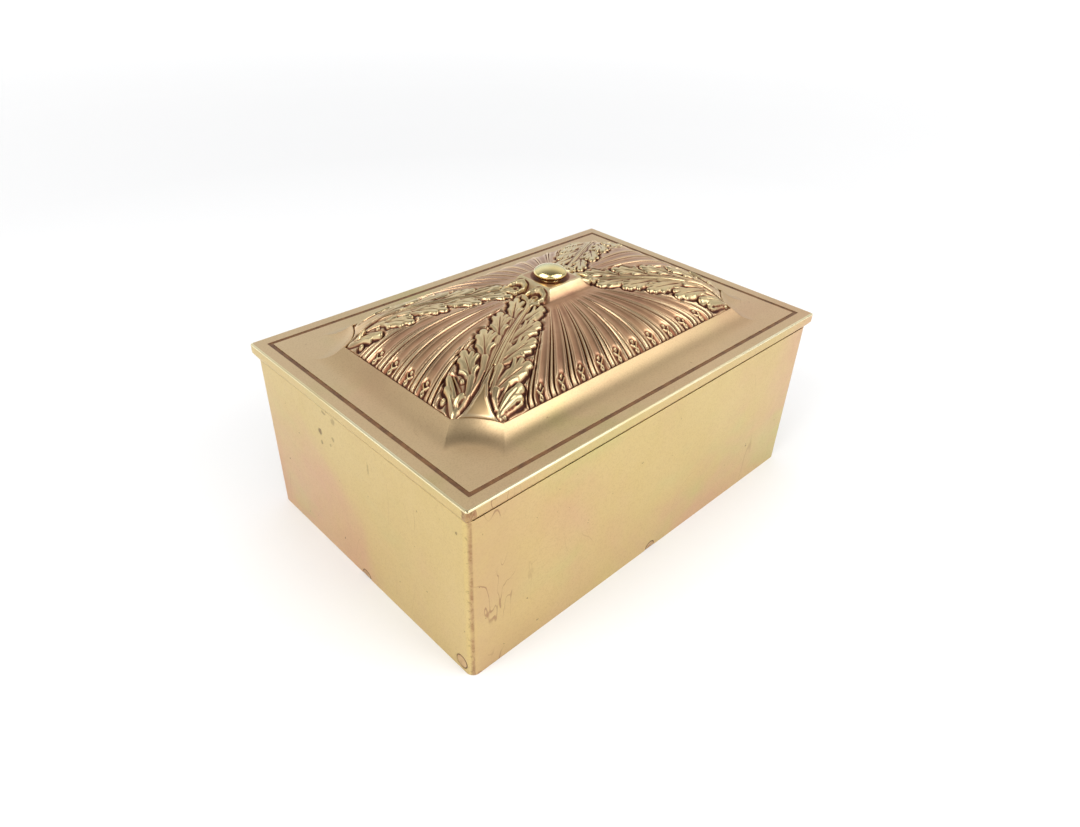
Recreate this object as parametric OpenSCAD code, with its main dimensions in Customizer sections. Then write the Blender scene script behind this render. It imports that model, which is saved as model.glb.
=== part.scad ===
// Vanity trinket box in gilt bronze: a straight-sided case with a hinged lid.
// The lid is a plate with a raised, notched frame, a struck relief panel set in it and a turned knob.
// Millimetres. X runs along the long side, -Y is the front, +Z is up.
// The origin is the middle of the underside. Heights of the relief are counted from the lid's flat border.

/* [Case] */
// Outside length of the case
case_l = 181.6; // [176:0.2:188]
// Outside width of the case
case_w = 122.6; // [118:0.2:128]
// Height of the case walls
case_h = 67.4; // [50:0.2:90]
// Thickness of the case walls
wall_t = 2.4; // [2.2:0.1:3]
// Radius of the upright outside corners
case_r = 3; // [2.6:0.1:5]

/* [Base] */
// Thickness of the base pan's floor
pan_t = 2; // [1.2:0.1:3]
// Thickness of the base pan's upturned flange
flange_t = 2; // [1.2:0.1:2.4]
// Height of the base pan's upturned flange
flange_h = 8; // [7:0.5:12]
// Radius of the peened pins that hold the pan
base_pin_r = 2.8; // [2:0.1:3.4]

/* [Lid] */
// How far the lid stands out past the case on every side
overhang = 1.2; // [0.6:0.1:2]
// Height of the lid's outer edge
lid_edge_h = 5.6; // [5:0.1:8]
// Gap between the closed lid and the case
lid_gap = 0.3; // [0.3:0.05:0.6]
// Thickness of the lid's flat border
plate_t = 1.8; // [1.4:0.1:2.4]
// Thickness of the lid's downturned edge, measured at the bottom
edge_t = 3; // [2.6:0.1:4]
// Height of the chamfer under the lid's edge
chamfer_h = 1.9; // [1:0.1:2.4]
// Distance from the lid's edge to the middle of the sunk line
line_inset = 5.35; // [4:0.05:7]
// Width of the sunk line
line_w = 1.6; // [0.6:0.1:1.6]
// Depth of the sunk line
line_d = 0.35; // [0.2:0.05:0.6]

/* [Raised frame] */
// Half length of the frame's crest
crest_x = 71.9; // [70:0.1:74]
// Half width of the frame's crest
crest_y = 42.6; // [41:0.1:44]
// Height of the crest above the border
crest_h = 4.8; // [3:0.1:6]
// Width of the cove that runs down from the crest to the border
cove_w = 9; // [6:0.1:9.5]
// Radius of the scooped notch at each corner of the crest
notch_r = 21.1; // [20:0.1:24]
// Distance of a notch's centre outside the crest's corner, along X
notch_dx = 9.0; // [8:0.1:10]
// Distance of a notch's centre outside the crest's corner, along Y
notch_dy = 6.7; // [6:0.1:8]

/* [Relief panel] */
// Height of the panel's outer edge
dome_edge = 4.2; // [3.5:0.1:4.5]
// Further rise of the panel, reached far from its edge
dome_rise = 15; // [12:0.1:16]
// Distance from the edge over which the rise flattens off
dome_run = 14; // [10:0.1:18]
// Thickness of the panel
panel_t = 1.6; // [1.2:0.1:2]
// Width of the strip that the frame's crest keeps between its top and the panel
crest_lip = 0.7; // [0.4:0.1:1]
// Radius of the small screws that hold the panel
panel_screw_r = 0.8; // [0.6:0.1:1]

/* [Pedestal and knob] */
// Half width of the pedestal's top
pedestal_half = 8.1; // [7.6:0.1:9]
// Height of the pedestal's top above the border
pedestal_h = 21.5; // [20.5:0.1:23]
// Radius of the knob
knob_r = 6.2; // [5.4:0.1:6.6]
// Half height of the knob's button
knob_half_h = 2.6; // [2.2:0.1:3.4]
// Radius of the knob's threaded stud
stud_r = 1.5; // [1:0.1:2]

/* [Hinges] */
// Distance of each hinge's middle from the box's middle
hinge_x = 52; // [40:1:64]
// Length of each hinge
hinge_l = 36; // [30:1:44]
// Radius of the knuckles
knuckle_r = 1.9; // [1.7:0.1:2]
// Radius of the hinge pins
hinge_pin_r = 0.9; // [0.7:0.05:1]
// Angle at which the stop lugs meet the back of the case
open_angle = 100; // [92:1:110]

/* [Linings] */
// Thickness of the velvet-covered boards inside the case
lining_t = 2; // [1.5:0.1:2.4]
// Distance from the top of the linings to the top of the case
lining_drop = 2; // [1:0.1:4]
// Thickness of the padded panel under the lid
lid_pad_t = 2.4; // [1.5:0.1:2.4]
// Height of the padded floor's top above the flange
pad_crown = 0.6; // [0.2:0.1:1.5]

/* [Hidden] */
$fn = 48;

// Levels
lid_z = case_h + lid_gap;
rim_z = lid_z + lid_edge_h;
plate_z = rim_z - plate_t;
lid_l = case_l + 2 * overhang;
lid_w = case_w + 2 * overhang;
inner_l = case_l - 2 * wall_t;
inner_w = case_w - 2 * wall_t;
inner_r = case_r - wall_t;

// Hinges: the axis lies at the outside of the back wall, in the middle of the gap
knuckle_count = 5;
knuckle_gap = 0.25;
knuckle_pitch = (hinge_l + knuckle_gap) / knuckle_count;
knuckle_l = knuckle_pitch - knuckle_gap;
hinge_y = case_w / 2 + 0.05;
hinge_z = case_h + lid_gap / 2;
knuckle_clear = 0.3;
pin_clear = 0.05;
lug_t = 1.4;
lug_reach = 2.9;
lug_root = 1.2;
lug_stand = 0.25;

// Notched outline of the frame and of every level of the panel
arc_steps = 8;
notch_cx = crest_x + notch_dx;
notch_cy = crest_y + notch_dy;
corner_r = 0.6;

// Cove and dome sampling, as distances from the crest
cove_steps = 8;
cove_power = 2.2;
dome_d = [0.7, 2, 3.5, 5.5, 8, 11, 14.5, 18.5, 23, 28, 33.5, 38, 41.5];
flange_out = 2.5;
flange_in = 2.3;
flange_down = 1;

// Pedestal and knob
pedestal_foot = 11.2;
pedestal_foot_h = 17;
pedestal_steps = 6;
seat_r = 4.4;
seat_d = 1.2;
dish_r = 7.4;
collar_t = 0.7;
collar_r = 4;
washer_t = 0.6;
washer_r = 4.6;
nut_t = 2.4;
nut_r = 3.2;
knob_z = rim_z + pedestal_h - seat_d + collar_t + 2.1;
under_z = rim_z + dome(dome_d[len(dome_d) - 2]) - panel_t - 0.35;
stud_end = under_z - washer_t - nut_t - 1;

// Colours
gilt = [0.84, 0.72, 0.50];
patina = [0.72, 0.54, 0.38];
polished = [0.93, 0.80, 0.50];
velvet = [0.36, 0.07, 0.12];

// Outline helpers ------------------------------------------------------------------------------------

// Angle of a direction from a notch's centre, kept between -360 and 0 so that an arc never wraps
function turn(y, x) = let (a = atan2(y, x)) a > 0 ? a - 360 : a;

// One corner of the outline lying d inside the crest, from the short side round to the long side
function corner(d) =
    let (
        hx = crest_x - d,
        hy = crest_y - d,
        r = notch_r + d,
        xa = notch_cx - sqrt(max(r * r - pow(notch_cy - hy, 2), 0)),
        yb = notch_cy - sqrt(max(r * r - pow(notch_cx - hx, 2), 0)),
        a0 = turn(yb - notch_cy, hx - notch_cx),
        a1 = turn(hy - notch_cy, xa - notch_cx),
        f = min(corner_r, hy / 2)
    )
    xa < hx - f && yb < hy - f
        ? [for (i = [0:arc_steps]) let (a = a0 + (a1 - a0) * i / arc_steps)
            [notch_cx + r * cos(a), notch_cy + r * sin(a)]]
        : [for (i = [0:arc_steps]) let (a = 90 * i / arc_steps)
            [hx - f * (1 - cos(a)), hy - f * (1 - sin(a))]];

function flipped(p) = [for (i = [len(p) - 1:-1:0]) p[i]];

// The whole outline, counter-clockwise
function outline(d) =
    let (q = corner(d), r = flipped(q))
    concat(q, [for (p = r) [-p.x, p.y]], [for (p = q) [-p.x, -p.y]], [for (p = r) [p.x, -p.y]]);

function ring_at(points, z) = [for (p = points) [p.x, p.y, z]];

// Height of the panel's surface at distance d from the crest
function dome(d) = dome_edge + dome_rise * (1 - exp(-d / dome_run));

// Height of the cove at distance o outside the crest
function cove(o) = crest_h * pow(1 - o / cove_w, cove_power);

// Closed skin through a list of rings; capped = false joins the last ring back to the first
module skin(rings, capped = true) {
    n = len(rings[0]);
    m = len(rings);
    points = [for (r = rings) each r];
    rows = capped ? m - 1 : m;
    sides = [for (j = [0:rows - 1]) for (i = [0:n - 1])
        let (a = j * n, b = ((j + 1) % m) * n, k = (i + 1) % n)
        each [[a + i, b + i, b + k], [a + i, b + k, a + k]]];
    caps = capped ? [[for (i = [0:n - 1]) i], [for (i = [n - 1:-1:0]) (m - 1) * n + i]] : [];
    polyhedron(points = points, faces = concat(sides, caps), convexity = 6);
}

// Rectangle with round corners, built from exact squares and circles
module round_rect(l, w, r) {
    square([l - 2 * r, w], center = true);
    square([l, w - 2 * r], center = true);
    for (x = [-1, 1]) for (y = [-1, 1])
        translate([x * (l / 2 - r), y * (w / 2 - r)])
            circle(r = r);
}

module slab(l, w, r, z0, z1) {
    translate([0, 0, z0])
        linear_extrude(z1 - z0)
            round_rect(l, w, r);
}

module block(l, w, z0, z1) {
    translate([-l / 2, -w / 2, z0])
        cube([l, w, z1 - z0]);
}

// Case -----------------------------------------------------------------------------------------------

// One pin through wall and flange, running inwards along +Y from the outside face
module base_pin(z) {
    intersection() {
        translate([0, 0, z])
            rotate([-90, 0, 0])
                cylinder(r = base_pin_r, h = wall_t + flange_t);
        block(4 * base_pin_r, 4 * (wall_t + flange_t), 0, flange_h);
    }
}

// One pin near a corner of each short side, at opposite ends, and one low in the middle of each side
module base_pin_set() {
    corner_y = inner_w / 2 - base_pin_r;
    for (s = [-1, 1]) {
        translate([s * case_l / 2, s * corner_y, 0])
            rotate([0, 0, s * 90])
                base_pin(base_pin_r + 1.1);
        translate([s * case_l / 2, 0, 0])
            rotate([0, 0, s * 90])
                base_pin(0.4);
        translate([0, s * case_w / 2, 0])
            rotate([0, 0, s > 0 ? 180 : 0])
                base_pin(0.4);
    }
}

module case_walls() {
    color(gilt)
        difference() {
            slab(case_l, case_w, case_r, 0, case_h);
            slab(inner_l, inner_w, inner_r, -1, case_h + 1);
            base_pin_set();
            for (s = [-1, 1])
                knuckle_recess(s, 0);
        }
}

module base_pan() {
    color(gilt)
        difference() {
            slab(inner_l, inner_w, inner_r, 0, flange_h);
            block(inner_l - 2 * flange_t, inner_w - 2 * flange_t, pan_t, flange_h + 1);
            base_pin_set();
        }
}

module base_pins() {
    color(patina)
        base_pin_set();
}

// Hinges ---------------------------------------------------------------------------------------------

module hinge_rod(x0, l, r) {
    translate([x0, hinge_y, hinge_z])
        rotate([0, 90, 0])
            cylinder(r = r, h = l);
}

function knuckle_x(s, i) = s * hinge_x - hinge_l / 2 + i * knuckle_pitch;

// Scoop cut in the case (owner 0) or in the lid (owner 1): tight at its own knuckles, free at the others
module knuckle_recess(s, owner) {
    for (i = [0:knuckle_count - 1]) {
        own = i % 2 == owner;
        extra = own ? 0 : knuckle_gap;
        hinge_rod(knuckle_x(s, i) - extra, knuckle_l + 2 * extra, own ? knuckle_r : knuckle_r + knuckle_clear);
    }
}

module case_knuckles(s) {
    color(gilt)
        for (i = [0:2:knuckle_count - 1])
            difference() {
                hinge_rod(knuckle_x(s, i), knuckle_l, knuckle_r);
                hinge_rod(knuckle_x(s, i) - 1, knuckle_l + 2, hinge_pin_r);
            }
}

// The lug stands out behind the lid when it is shut, and meets the wall when the lid is open
module stop_lug(s, i) {
    translate([knuckle_x(s, i), hinge_y, hinge_z])
        rotate([open_angle, 0, 0])
            translate([0, lug_stand, -lug_reach])
                cube([knuckle_l, lug_t, lug_reach - lug_root]);
}

module lid_knuckles(s) {
    color(gilt)
        for (i = [1:2:knuckle_count - 1])
            difference() {
                union() {
                    hinge_rod(knuckle_x(s, i), knuckle_l, knuckle_r);
                    stop_lug(s, i);
                }
                hinge_rod(knuckle_x(s, i) - 1, knuckle_l + 2, hinge_pin_r + pin_clear);
            }
}

module hinge_pin(s) {
    color(polished)
        hinge_rod(knuckle_x(s, 0), hinge_l, hinge_pin_r);
}

// Lid ------------------------------------------------------------------------------------------------

// Wedges that chamfer the underside of the lid's edge on all four sides
module edge_chamfer() {
    slope = atan2(overhang, chamfer_h);
    reach = sqrt(overhang * overhang + chamfer_h * chamfer_h);
    for (s = [0, 1]) for (side = [-1, 1])
        rotate([0, 0, s * 90])
            translate([0, side * (s == 0 ? case_w : case_l) / 2, lid_z])
                rotate([side * -slope, 0, 0])
                    translate([-lid_l, side > 0 ? 0 : -reach, -reach])
                        cube([2 * lid_l, reach, 2 * reach + 1]);
}

// Thin rectangular line sunk in the lid's flat border
module sunk_line() {
    l = lid_l - 2 * line_inset;
    w = lid_w - 2 * line_inset;
    difference() {
        block(l + line_w, w + line_w, rim_z - line_d, rim_z + 1);
        block(l - line_w, w - line_w, rim_z - line_d - 1, rim_z + 2);
    }
}

// Raised frame: lip inside the crest, crest, and cove running down to the border
module raised_frame() {
    down = 0.6;
    top = [for (i = [0:cove_steps]) let (o = cove_w * i / cove_steps)
        ring_at(outline(-o), rim_z + max(cove(o), 0.02))];
    skin(flipped(concat(
        [ring_at(outline(crest_lip), rim_z - down)],
        [ring_at(outline(crest_lip), rim_z + crest_h - 0.3)],
        top,
        [ring_at(outline(-cove_w), rim_z - down)])), capped = false);
}

// Where the panel's screws stand: three along each long side, one at each short side
function screw_spots() =
    let (off = (flange_out - crest_lip) / 2 + 0.4)
    concat(
        [for (s = [-1, 1]) for (x = [-45, 0, 45]) [x, s * (crest_y + off)]],
        [for (s = [-1, 1]) [s * (crest_x + off), 0]]);

module screw(p) {
    translate([p.x, p.y, plate_z - flange_down]) {
        cylinder(r = panel_screw_r, h = flange_down + plate_t - 0.5);
        cylinder(r1 = 2 * panel_screw_r, r2 = panel_screw_r, h = panel_screw_r);
    }
}

module lid_plate() {
    color(gilt)
        difference() {
            union() {
                difference() {
                    slab(lid_l, lid_w, 0.8, lid_z, rim_z);
                    translate([0, 0, lid_z - 1])
                        linear_extrude(lid_edge_h + 2)
                            polygon(outline(crest_lip));
                }
                raised_frame();
            }
            block(case_l - 2 * edge_t, case_w - 2 * edge_t, lid_z - 1, plate_z);
            edge_chamfer();
            sunk_line();
            for (s = [-1, 1]) {
                knuckle_recess(s, 1);
                for (i = [1:2:knuckle_count - 1])
                    stop_lug(s, i);
            }
            for (p = screw_spots())
                screw(p);
        }
}

// Shell of the panel: inner skin, foot, upright edge, outer skin
module panel_shell() {
    last = len(dome_d) - 1;
    foot = rim_z - plate_t - flange_down;
    skin(concat(
        [for (i = [last:-1:2]) ring_at(outline(dome_d[i]), rim_z + dome(dome_d[i]) - panel_t - 0.3)],
        [ring_at(outline(flange_in), foot)],
        [ring_at(outline(dome_d[0]), foot)],
        [for (d = dome_d) ring_at(outline(d), rim_z + dome(d))]));
}

function square_ring(half, z) =
    [[half, half, z], [-half, half, z], [-half, -half, z], [half, -half, z]];

// Square pedestal whose sides sweep outwards into the panel
module pedestal() {
    spread = pedestal_foot - pedestal_half;
    rise = pedestal_h - pedestal_foot_h;
    skin([for (i = [0:pedestal_steps]) let (t = i / pedestal_steps)
        square_ring(pedestal_half + spread * pow(1 - t, 2.2), rim_z + pedestal_foot_h + rise * t)]);
}

// Flat seat with a shallow dish around it, for the knob's collar
module pedestal_dish() {
    top = rim_z + pedestal_h;
    rotate_extrude()
        polygon([[0, top - seat_d], [seat_r, top - seat_d], [dish_r, top], [dish_r, top + 1], [0, top + 1]]);
}

module relief_panel() {
    color(patina)
        difference() {
            union() {
                panel_shell();
                difference() {
                    translate([0, 0, plate_z - flange_down])
                        linear_extrude(flange_down)
                            polygon(outline(-flange_out));
                    translate([0, 0, plate_z - flange_down - 1])
                        linear_extrude(flange_down + 2)
                            polygon(outline(flange_in - 0.4));
                }
                pedestal();
            }
            pedestal_dish();
            cylinder(r = stud_r, h = rim_z + pedestal_h);
            for (p = screw_spots())
                screw(p);
        }
}

module panel_screws() {
    color(polished)
        for (p = screw_spots())
            screw(p);
}

// Knob -----------------------------------------------------------------------------------------------

seat_z = rim_z + pedestal_h - seat_d;

// Turned button: the part of a flat ellipse above the collar, on a threaded stud
module knob() {
    base = seat_z + collar_t;
    start = asin((base - knob_z) / knob_half_h);
    steps = 20;
    button = [for (i = [0:steps - 1]) let (a = start + (90 - start) * i / steps)
        [knob_r * cos(a), knob_z + knob_half_h * sin(a)]];
    color(polished)
        rotate_extrude()
            polygon(concat([[0, stud_end], [stud_r, stud_end], [stud_r, base]], button,
                [[0, knob_z + knob_half_h]]));
}

module turned_ring(r_out, z, h) {
    translate([0, 0, z])
        difference() {
            cylinder(r = r_out, h = h);
            translate([0, 0, -1])
                cylinder(r = stud_r, h = h + 2);
        }
}

module knob_collar() {
    color(polished)
        turned_ring(collar_r, seat_z, collar_t);
}

module knob_washer() {
    color(polished)
        turned_ring(washer_r, under_z - washer_t, washer_t);
}

module knob_nut() {
    color(polished)
        translate([0, 0, under_z - washer_t - nut_t])
            difference() {
                cylinder(r = nut_r, h = nut_t, $fn = 6);
                translate([0, 0, -1])
                    cylinder(r = stud_r, h = nut_t + 2);
            }
}

// Linings --------------------------------------------------------------------------------------------

long_lining = inner_l - 2 * inner_r;
short_lining = inner_w - 2 * lining_t;

module long_lining(s) {
    color(velvet)
        translate([0, s * (inner_w - lining_t) / 2, 0])
            block(long_lining, lining_t, flange_h, case_h - lining_drop);
}

module short_lining(s) {
    color(velvet)
        translate([s * (inner_l - lining_t) / 2, 0, 0])
            block(lining_t, short_lining, flange_h, case_h - lining_drop);
}

module floor_pad() {
    fit = 0.2;
    color(velvet)
        slab(inner_l - 2 * flange_t - 2 * fit, inner_w - 2 * flange_t - 2 * fit, 1, pan_t, flange_h + pad_crown);
}

module lid_lining() {
    fit = 0.2;
    top = plate_z - flange_down;
    color(velvet)
        slab(case_l - 2 * edge_t - 2 * fit, case_w - 2 * edge_t - 2 * fit, 1, top - lid_pad_t, top);
}

case_walls();
base_pan();
base_pins();
floor_pad();
long_lining(-1);  // front_lining
long_lining(1);  // back_lining
short_lining(-1);  // left_lining
short_lining(1);  // right_lining
case_knuckles(-1);  // left_case_knuckles
case_knuckles(1);  // right_case_knuckles
hinge_pin(-1);  // left_hinge_pin
hinge_pin(1);  // right_hinge_pin
lid_plate();
relief_panel();
panel_screws();
knob();
knob_collar();
knob_washer();
knob_nut();
lid_lining();
lid_knuckles(-1);  // left_lid_knuckles
lid_knuckles(1);  // right_lid_knuckles
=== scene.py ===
"""Vanity trinket box in gilt bronze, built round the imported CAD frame.

The front is -Y and the hinges are at +Y. Lengths are in millimetres until a mesh is made, which is in metres.
"""
import math

import bmesh
import bpy
import numpy as np
from mathutils import Matrix, Vector
from mathutils.geometry import delaunay_2d_cdt


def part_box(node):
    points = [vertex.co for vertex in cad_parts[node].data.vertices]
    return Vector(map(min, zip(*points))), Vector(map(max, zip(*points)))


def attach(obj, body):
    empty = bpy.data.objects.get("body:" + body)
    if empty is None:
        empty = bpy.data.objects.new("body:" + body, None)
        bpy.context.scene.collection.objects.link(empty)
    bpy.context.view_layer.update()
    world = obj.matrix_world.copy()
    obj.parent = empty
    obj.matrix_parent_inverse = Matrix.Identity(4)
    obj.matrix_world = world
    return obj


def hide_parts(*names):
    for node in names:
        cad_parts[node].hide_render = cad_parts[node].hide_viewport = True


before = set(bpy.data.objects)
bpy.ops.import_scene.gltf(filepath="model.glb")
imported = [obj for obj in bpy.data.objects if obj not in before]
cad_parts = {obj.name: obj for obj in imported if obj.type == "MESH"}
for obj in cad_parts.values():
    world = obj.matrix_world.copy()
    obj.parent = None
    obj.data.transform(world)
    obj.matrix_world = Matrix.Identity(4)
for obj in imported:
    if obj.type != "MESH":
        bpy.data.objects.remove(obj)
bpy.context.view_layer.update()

MM = 0.001
FULL_TURN = 2 * math.pi

# ---------------- sizes
RIM_Z = 73.3                                    # the lid's flat border, which the heights below start from
CREST_X, CREST_Y = 71.9, 42.6                   # half sizes of the raised frame's crest
NOTCH_X, NOTCH_Y, NOTCH_R = 80.9, 49.3, 21.1    # the round notch in each of its corners
PEDESTAL_HALF, PEDESTAL_H = 8.1, 21.5
FOOT_HALF, FOOT_H = 12.6, 17.2
SEAT_R, SEAT_D, DISH_R = 4.4, 1.2, 7.4          # the dish under the knob
GROUND_DROP = 1                               # how deep the ground lies between the leaves
LEAF_RISE = 1.35                                # a leaflet's height over that ground
FAR = 50.0                                      # a gap that nothing is near
HINGE_X, HINGE_Y, HINGE_Z = 52, 61.35, 67.55
KNOB_R, KNOB_HALF_H, KNOB_Z, KNOB_SEAT = 6.2, 2.6, 96.4, 94.3


# ---------------- small tools
def smoothstep(a, b, x):
    """0 at a and 1 at b, with a smooth start and end."""
    t = np.clip((x - a) / (b - a), 0, 1)
    return t * t * (3 - 2 * t)


def soft_max(a, b, k):
    """Largest of two fields, rounded where they cross, with k the width of the rounding."""
    h = np.clip(0.5 + 0.5 * (a - b) / k, 0, 1)
    return b * (1 - h) + a * h + k * h * (1 - h)


def rounded(share, power=2, root=0.5):
    """Round-topped section: height 1 where share is 0, and 0 where it is 1 or more."""
    return np.clip(1 - share ** power, 0, 1) ** root


def ridge(x, centre, half, power=2):
    """Round-topped ridge of height 1 over centre, 0 beyond half."""
    return rounded(np.abs((x - centre) / half), power)


def blur(field, cells):
    """Gaussian blur of a grid that is mirror-symmetrical at its low edges."""
    reach = int(3 * cells) + 1
    kernel = np.exp(-0.5 * (np.arange(-reach, reach + 1) / cells) ** 2)
    kernel /= kernel.sum()
    for axis in (0, 1):
        pad = [(0, 0), (0, 0)]
        pad[axis] = (reach, reach)
        wide = np.pad(field, pad, mode="reflect")
        field = np.apply_along_axis(lambda row: np.convolve(row, kernel, "valid"), axis, wide)
    return field


def segment(x, y, p, q):
    """Where the nearest point from p to q lies, from 0 to 1, and the distance to it."""
    dx, dy = q[0] - p[0], q[1] - p[1]
    t = np.clip(((x - p[0]) * dx + (y - p[1]) * dy) / (dx * dx + dy * dy + 1e-9), 0, 1)
    return t, np.hypot(x - p[0] - t * dx, y - p[1] - t * dy)


def chain(x, y, points, radii):
    """Tapered line through points: distance over radius, distance outside it, and how far along."""
    rho = np.full(x.shape, 1e3)
    gap = np.full(x.shape, 1e3)
    along = np.zeros(x.shape)
    steps = len(points) - 1
    for i in range(steps):
        t, distance = segment(x, y, points[i], points[i + 1])
        radius = radii[i] + t * (radii[i + 1] - radii[i])
        nearer = distance / radius < rho
        rho = np.where(nearer, distance / radius, rho)
        along = np.where(nearer, (i + t) / steps, along)
        gap = np.minimum(gap, distance - radius)
    return rho, gap, along


def side_of(x, y, line):
    """Signed distance to a line through points, positive on its left."""
    best = np.full(x.shape, 1e9)
    sign = np.ones(x.shape)
    for p, q in zip(line, line[1:]):
        distance = segment(x, y, p, q)[1]
        cross = (q[0] - p[0]) * (y - p[1]) - (q[1] - p[1]) * (x - p[0])
        sign = np.where(distance < best, np.sign(cross), sign)
        best = np.minimum(best, distance)
    return best * sign


def curve(p, c, q, steps=8):
    """Points of a curve from p to q that leaves p towards c."""
    return [tuple((1 - t) ** 2 * a + 2 * t * (1 - t) * b + t * t * e for a, b, e in zip(p, c, q))
            for t in (i / steps for i in range(steps + 1))]


# ---------------- relief: the outlines of a quarter
# Leaflets, on the quarter with x and y positive: base, breadth of the body, lift, then its lobes as
# (tip x, tip y, tip radius, base radius)
LEAFLETS = [
    # along the short side's fan, from the notch inwards
    ((69.2, 29), 0, 1.45, [(66.3, 21.2, 0.85, 1.3), (63.5, 19.2, 1.2, 1.7), (64.6, 27.6, 0.7, 1.2)]),
    ((64.5, 27), 0, 0.9, [(62.1, 20, 0.35, 0.3)]),
    ((60, 27), 1, 1, [(59.2, 20, 0.8, 0.5), (56.4, 16.3, 1.15, 0.7), (53.5, 14.6, 1.6, 0.9),
         (51.7, 16.8, 1, 0.7), (51.3, 18.8, 1, 0.6), (54.6, 22.6, 0.9, 0.6)]),
    ((51.2, 22.8), 1, 1, [(48.3, 15, 0.7, 0.4), (44.8, 11.6, 1.2, 0.7), (41.7, 10.8, 1.7, 0.9),
         (39.9, 12.7, 1, 0.7), (39.6, 14.5, 1, 0.6), (43.6, 18.2, 0.9, 0.6)]),
    ((41.2, 17.8), 1, 1, [(37.3, 9.8, 0.75, 0.4), (33.4, 6.7, 1.2, 0.7), (30, 6.1, 1.7, 0.9),
         (29.1, 8.3, 1, 0.7), (29.2, 10.1, 1, 0.6), (33.2, 13.2, 0.9, 0.6)]),
    ((30.6, 12.6), 0.85, 1.05, [(25.6, 5.6, 0.75, 0.4), (21.6, 2.4, 1.15, 0.7), (18.5, 2, 1.45, 0.8),
         (18.1, 4.9, 1, 0.6), (21.6, 8, 0.9, 0.5)]),
    # along the long side's fan
    ((60.2, 39.3), 0.85, 1.45, [(48.3, 36.3, 1.65, 1.1), (50.2, 38.8, 1, 0.8)]),
    ((60.2, 40.6), 0, 0.8, [(50.6, 39.9, 0.4, 0.35)]),
    ((60, 37.4), 0, 0.8, [(51, 33.9, 0.42, 0.32)]),
    ((57, 33.1), 0.95, 1, [(47.1, 33.4, 0.9, 0.4), (42.9, 32.8, 1.1, 0.7), (39.6, 30.9, 1.6, 0.9),
         (40.5, 28.6, 1.1, 0.7), (42.4, 27.4, 0.8, 0.5)]),
    ((50.2, 26.2), 0.95, 1, [(35.4, 26.5, 1.25, 0.7), (32.1, 25.4, 1, 0.7), (30.7, 23.7, 1.5, 0.9),
         (31.9, 21.7, 1, 0.6), (33.9, 20.7, 0.7, 0.5)]),
    ((41.2, 20.6), 0.95, 1, [(27.2, 20.9, 0.95, 0.7), (24.1, 19.3, 1.1, 0.7), (23, 17.7, 1.4, 0.9),
         (24.2, 15.9, 1, 0.6), (25.8, 14.8, 0.7, 0.5)]),
    ((30.6, 15.3), 0.85, 1.05, [(22, 14.7, 0.8, 0.5), (18.9, 13.7, 1.15, 0.7), (15.6, 12.3, 1.3, 0.8),
         (15, 11.1, 1.1, 0.7), (16.8, 9.6, 0.7, 0.5)]),
    # the last leaf, which curls up against the pedestal's corner
    ((20.5, 8.6), 0.9, 1.5, [(15.4, 2.4, 1.1, 0.5), (12.6, 5.2, 1.9, 0.8), (14.6, 8.9, 0.9, 0.5)]),
]
# How each leaflet's foot runs on along the stem towards the notch
TAILS = [
    [(58.5, 24.5), (62, 27.4), (66, 29.2), (69.5, 29.6)],
    [(49.8, 21), (53.5, 24.2), (58, 26.9), (62.5, 28.7)],
    [(39.8, 16), (43.5, 19.2), (48.5, 22.6), (53.5, 25.3)],
    [(29, 10.8), (33, 14), (38, 17.4), (43, 20)],
    [(55.6, 33), (57.6, 34.6), (59, 37), (59.8, 40)],
    [(48.6, 26.9), (52.5, 29.4), (55.8, 32.2), (58, 35.2)],
    [(39.6, 21.2), (43.5, 23.4), (48, 26.3), (52, 29.2)],
    [(29.2, 15.9), (33.5, 18), (38.5, 20.9), (43, 23.8)],
]
TAIL_RADII = [1.5, 1.1, 0.75, 0.35]
# The round scroll against the pedestal's corner, and the cup it curls round
CURL = [(14.4, 8.1), (11.9, 8.4), (9.9, 7.1), (9.1, 5), (9.9, 2.9), (11.9, 1.7), (14.4, 2)]
CURL_RADII = [0.4, 0.9, 1.4, 1.55, 1.4, 0.9, 0.4]
CURL_RISE = 4.1
CUP_X, CUP_Y, CUP_R, CUP_DEPTH = 12.9, 5, 1.3, 1.2
# Small round lobes between the leaflets: x, y, radius
EYES = [(69, 23, 0.85), (61.4, 23.4, 0.7), (38.7, 26.8, 0.95), (58.9, 41, 0.5)]
EYE_RISE = 1.2
STEM_SLOPE, STEM_SHIFT = 0.57, 3                # the straight line that parts the two fans
STEM = [(66, 36), (58.5, 31), (49, 25.3), (40, 19.9), (30, 14.1), (20, 8.6), (15, 6)]
# The stem's ribs: distance from its middle, radius, height
STEM_RIBS = [(0, 0.55, 1.35), (1.05, 0.36, 1.1), (-1.05, 0.36, 1.1), (1.95, 0.3, 0.85), (-1.9, 0.3, 0.85)]
# The two hollow sides of the plain triangle at the notch, and where it ends
GUSSET_UP = [(71.3, 30.1), (68, 30.7), (65, 30.6), (60, 29.5), (55, 27.4), (49.5, 24.9)]
GUSSET_DOWN = [(60.7, 42.4), (60.8, 39.5), (60.3, 37), (58.9, 33.6), (56, 30.3), (52.5, 27.8),
               (49.5, 25.7)]
GUSSET_END = 50
# Reeds and bellflowers of the two fans, by their place along the crest
LONG_REEDS = [0, 9.4, 19, 28.5, 38.5, 48.5]
LONG_BELLS = [4.85, 14.2, 23.95, 33.7, 43.8]
SHORT_REEDS = [0, 9.3, 19]
SHORT_BELLS = [4.7, 14]
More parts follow.
